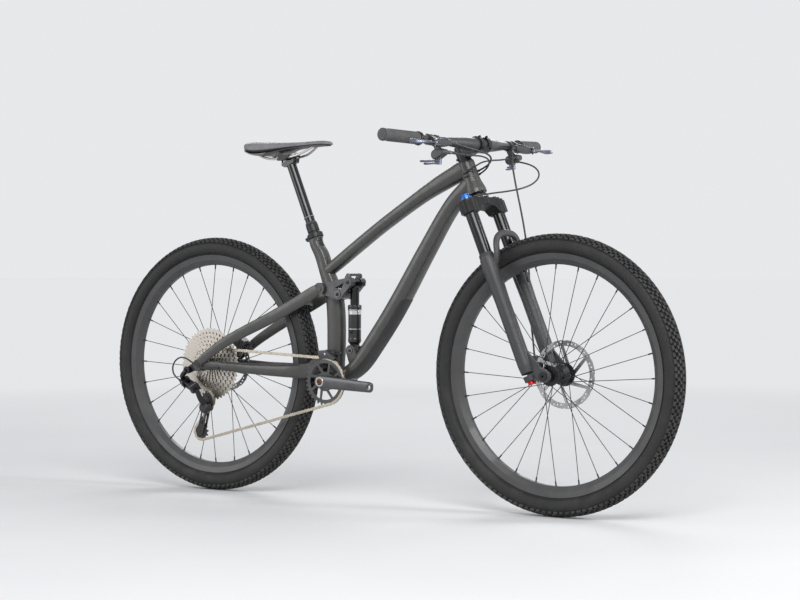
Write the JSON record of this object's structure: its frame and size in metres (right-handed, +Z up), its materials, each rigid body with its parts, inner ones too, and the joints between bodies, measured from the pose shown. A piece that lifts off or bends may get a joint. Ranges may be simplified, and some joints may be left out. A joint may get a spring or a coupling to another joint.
{
  "type": "mountain bike",
  "caption": "Full-suspension mountain bike with 29 inch wheels, telescopic fork, linkage rear end, disc brakes and a height-adjustable seatpost.",
  "frame": {"origin": "on the ground, midway between the two wheel axles and between the bike's sides", "axes": "+X forward, +Y to the rider's left, +Z up; the chain is on the -Y side"},
  "size_m": [1.8845, 0.7582, 1.0076],
  "materials": {
    "carbon_frame": "matte",
    "pivot_metal": "satin",
    "black_alloy": "satin",
    "hard_black": "polished",
    "crown_black": "satin",
    "magnesium": "matte",
    "bar_black": "satin",
    "grip_rubber": "matte",
    "control_black": "satin",
    "lever_alloy": "satin",
    "cable_black": "satin",
    "blue_anodised": "satin",
    "red_anodised": "satin",
    "tyre_rubber": "matte",
    "rim_black": "satin",
    "spoke_steel": "satin",
    "hub_black": "satin",
    "rotor_steel": "brushed",
    "cassette_steel": "satin",
    "chain_steel": "satin",
    "crank_grey": "satin",
    "ring_alloy": "satin",
    "derailleur_black": "satin",
    "pulley_resin": "matte",
    "rocker_alloy": "satin",
    "shock_silver": "polished",
    "rail_titanium": "satin",
    "saddle_cover": "satin"
  },
  "bodies": {
    "frame": {"head_tube": "carbon_frame", "seat_tube": "carbon_frame", "down_tube": "carbon_frame", "top_tube": "carbon_frame", "frame_bearings_and_axles": "pivot_metal", "seat_clamp": "black_alloy", "seatpost_outer": "black_alloy"},
    "steering": {"fork_crown": "crown_black", "fork_stanchions": "hard_black", "stem": "black_alloy", "handlebar": "bar_black", "grips": "grip_rubber", "bar_control_bodies": "control_black", "control_lines": "cable_black", "front_brake_hose": "cable_black"},
    "lockout_dial": {"lockout_dial": "blue_anodised"},
    "brake_lever_right": {"brake_lever_right": "lever_alloy"},
    "brake_lever_left": {"brake_lever_left": "lever_alloy"},
    "shift_thumb_lever": {"shift_thumb_lever": "control_black"},
    "shift_release_lever": {"shift_release_lever": "control_black"},
    "dropper_remote_lever": {"dropper_remote_lever": "control_black"},
    "lockout_remote_lever": {"lockout_remote_lever": "control_black"},
    "lowers": {"fork_lowers": "magnesium", "front_axle": "pivot_metal", "front_caliper": "lever_alloy"},
    "rebound_knob": {"rebound_knob": "red_anodised"},
    "front_wheel": {"front_tire": "tyre_rubber", "front_rim": "rim_black", "front_spokes": "spoke_steel", "front_hub": "hub_black", "front_rotor": "rotor_steel"},
    "swingarm": {"chainstay": "carbon_frame", "rear_axle": "pivot_metal", "derailleur_base": "derailleur_black", "derailleur_housing": "cable_black", "chain": "chain_steel"},
    "rear_wheel": {"rear_tire": "tyre_rubber", "rear_rim": "rim_black", "rear_spokes": "spoke_steel", "rear_hub": "hub_black", "rear_rotor": "rotor_steel"},
    "cassette": {"cassette": "cassette_steel"},
    "seatstay": {"seatstay": "carbon_frame", "rear_caliper": "lever_alloy"},
    "rocker": {"rocker_link": "rocker_alloy"},
    "shock_body": {"shock_body": "black_alloy"},
    "shock_shaft": {"shock_shaft": "shock_silver"},
    "crank": {"crank_arm_right": "crank_grey", "crank_arm_left": "crank_grey", "chainring": "ring_alloy"},
    "derailleur_outer_link": {"derailleur_outer_link": "derailleur_black"},
    "derailleur_inner_link": {"derailleur_inner_link": "derailleur_black"},
    "derailleur_knuckle": {"derailleur_knuckle": "derailleur_black"},
    "derailleur_cage": {"derailleur_cage": "derailleur_black"},
    "guide_pulley": {"guide_pulley": "pulley_resin"},
    "tension_pulley": {"tension_pulley": "pulley_resin"},
    "saddle_post": {"dropper_stanchion": "hard_black", "saddle_clamp": "black_alloy", "saddle_rails": "rail_titanium", "saddle": "saddle_cover"}
  },
  "joints": [
    {"name": "steering_turn", "type": "hinge", "parent": "frame", "child": "steering", "pos_m": [0.53365, 0, 0.35116], "axis": [-0.3827, 0, 0.9239], "range_deg": [-50, 50], "deforming": ["control_lines"]},
    {"name": "lockout_dial_turn", "type": "hinge", "parent": "steering", "child": "lockout_dial", "pos_m": [0.3395, -0.067, 0.83034], "axis": [-0.3827, 0, 0.9239], "range_deg": [0, 60]},
    {"name": "brake_lever_right_pull", "type": "hinge", "parent": "steering", "child": "brake_lever_right", "pos_m": [0.35797, -0.24071, 0.96774], "axis": [0.0054, 0.034, 0.9994], "range_deg": [-14, 0], "stiffness_Nm_per_rad": 1},
    {"name": "brake_lever_left_pull", "type": "hinge", "parent": "steering", "child": "brake_lever_left", "pos_m": [0.35797, 0.24071, 0.96774], "axis": [0.0054, -0.034, 0.9994], "range_deg": [0, 14], "stiffness_Nm_per_rad": 1},
    {"name": "shift_thumb_press", "type": "hinge", "parent": "steering", "child": "shift_thumb_lever", "pos_m": [0.32954, -0.18372, 0.92393], "axis": [0.0054, 0.034, 0.9994], "range_deg": [-25, 0], "stiffness_Nm_per_rad": 0.3},
    {"name": "shift_release_press", "type": "hinge", "parent": "steering", "child": "shift_release_lever", "pos_m": [0.32951, -0.18392, 0.91793], "axis": [0.0054, 0.034, 0.9994], "range_deg": [-16, 0], "stiffness_Nm_per_rad": 0.3},
    {"name": "dropper_remote_press", "type": "hinge", "parent": "steering", "child": "dropper_remote_lever", "pos_m": [0.33033, 0.17872, 0.92375], "axis": [0.0054, -0.034, 0.9994], "range_deg": [0, 25], "stiffness_Nm_per_rad": 0.3},
    {"name": "lockout_remote_press", "type": "hinge", "parent": "steering", "child": "lockout_remote_lever", "pos_m": [0.3303, 0.17892, 0.91776], "axis": [0.0054, -0.034, 0.9994], "range_deg": [0, 20]},
    {"name": "fork_travel", "type": "slide", "parent": "steering", "child": "lowers", "axis": [-0.3827, 0, 0.9239], "range_m": [0, 0.1], "deforming": ["front_brake_hose"]},
    {"name": "rebound_knob_turn", "type": "hinge", "parent": "lowers", "child": "rebound_knob", "pos_m": [0.53734, -0.067, 0.35269], "axis": [-0.3827, 0, 0.9239], "range_deg": [0, 300]},
    {"name": "front_wheel_spin", "type": "hinge", "parent": "lowers", "child": "front_wheel", "pos_m": [0.5743, 0, 0.368], "axis": [0, 1, 0], "continuous": true},
    {"name": "swingarm_pivot", "type": "hinge", "parent": "frame", "child": "swingarm", "pos_m": [-0.1455, 0, 0.406], "axis": [0, 1, 0], "range_deg": [0, 15.3], "deforming": ["chain"]},
    {"name": "rocker_turn", "type": "hinge", "parent": "frame", "child": "rocker", "pos_m": [-0.1065, 0, 0.574], "axis": [0, 1, 0], "range_deg": [0, 54.5]},
    {"name": "seatstay_pivot", "type": "hinge", "parent": "swingarm", "child": "seatstay", "pos_m": [-0.5743, 0, 0.368], "axis": [0, 1, 0], "range_deg": [-6, 0]},
    {"name": "shock_swing", "type": "hinge", "parent": "frame", "child": "shock_body", "pos_m": [-0.074, 0, 0.418], "axis": [0, 1, 0], "range_deg": [0, 6.2]},
    {"name": "shock_stroke", "type": "slide", "parent": "shock_body", "child": "shock_shaft", "axis": [0.0079, 0, 1], "range_m": [-0.0398, 0]},
    {"name": "rear_wheel_spin", "type": "hinge", "parent": "swingarm", "child": "rear_wheel", "pos_m": [-0.5743, 0, 0.368], "axis": [0, 1, 0], "continuous": true},
    {"name": "crank_spin", "type": "hinge", "parent": "frame", "child": "crank", "pos_m": [-0.138, 0, 0.332], "axis": [0, 1, 0], "continuous": true},
    {"name": "cassette_spin", "type": "hinge", "parent": "swingarm", "child": "cassette", "pos_m": [-0.5743, 0, 0.368], "axis": [0, 1, 0], "continuous": true},
    {"name": "derailleur_swing", "type": "hinge", "parent": "swingarm", "child": "derailleur_outer_link", "pos_m": [-0.624, -0.082, 0.322], "axis": [0.4345, 0.7068, 0.5582], "range_deg": [-14, 22]},
    {"name": "derailleur_inner_swing", "type": "hinge", "parent": "swingarm", "child": "derailleur_inner_link", "pos_m": [-0.62402, -0.0727, 0.31023], "axis": [0.4345, 0.7068, 0.5582], "range_deg": [-14.2, 22.2]},
    {"name": "derailleur_knuckle_swing", "type": "hinge", "parent": "derailleur_outer_link", "child": "derailleur_knuckle", "pos_m": [-0.58077, -0.09833, 0.30903], "axis": [0.4345, 0.7068, 0.5582], "range_deg": [-22.2, 14.2]},
    {"name": "derailleur_cage_swing", "type": "hinge", "parent": "derailleur_knuckle", "child": "derailleur_cage", "pos_m": [-0.566, -0.053, 0.244], "axis": [0, -1, 0], "range_deg": [-19, 29]},
    {"name": "guide_pulley_spin", "type": "hinge", "parent": "derailleur_cage", "child": "guide_pulley", "pos_m": [-0.57, -0.0448, 0.265], "axis": [0, 1, 0], "continuous": true},
    {"name": "tension_pulley_spin", "type": "hinge", "parent": "derailleur_cage", "child": "tension_pulley", "pos_m": [-0.594, -0.0448, 0.172], "axis": [0, 1, 0], "continuous": true},
    {"name": "dropper_travel", "type": "slide", "parent": "frame", "child": "saddle_post", "axis": [-0.3827, 0, 0.9239], "range_m": [-0.15, 0], "stiffness_N_per_m": 300, "springref_m": 0.25}
  ],
  "couplings": [
    {"joint": "rocker_turn", "follows": "swingarm_pivot", "ratio": 3.5402},
    {"joint": "seatstay_pivot", "follows": "swingarm_pivot", "ratio": -0.38418},
    {"joint": "shock_swing", "follows": "swingarm_pivot", "ratio": 0.39295},
    {"joint": "shock_stroke", "follows": "swingarm_pivot", "m_per_rad": -0.14797},
    {"joint": "cassette_spin", "follows": "crank_spin", "ratio": 1.3333},
    {"joint": "guide_pulley_spin", "follows": "crank_spin", "ratio": -2.6667},
    {"joint": "tension_pulley_spin", "follows": "crank_spin", "ratio": 2.6667},
    {"joint": "derailleur_inner_swing", "follows": "derailleur_swing", "ratio": 1},
    {"joint": "derailleur_knuckle_swing", "follows": "derailleur_swing", "ratio": -1},
    {"joint": "derailleur_cage_swing", "follows": "derailleur_swing", "ratio": 1.3},
    {"joint": "lockout_dial_turn", "follows": "lockout_remote_press", "ratio": 3}
  ]
}
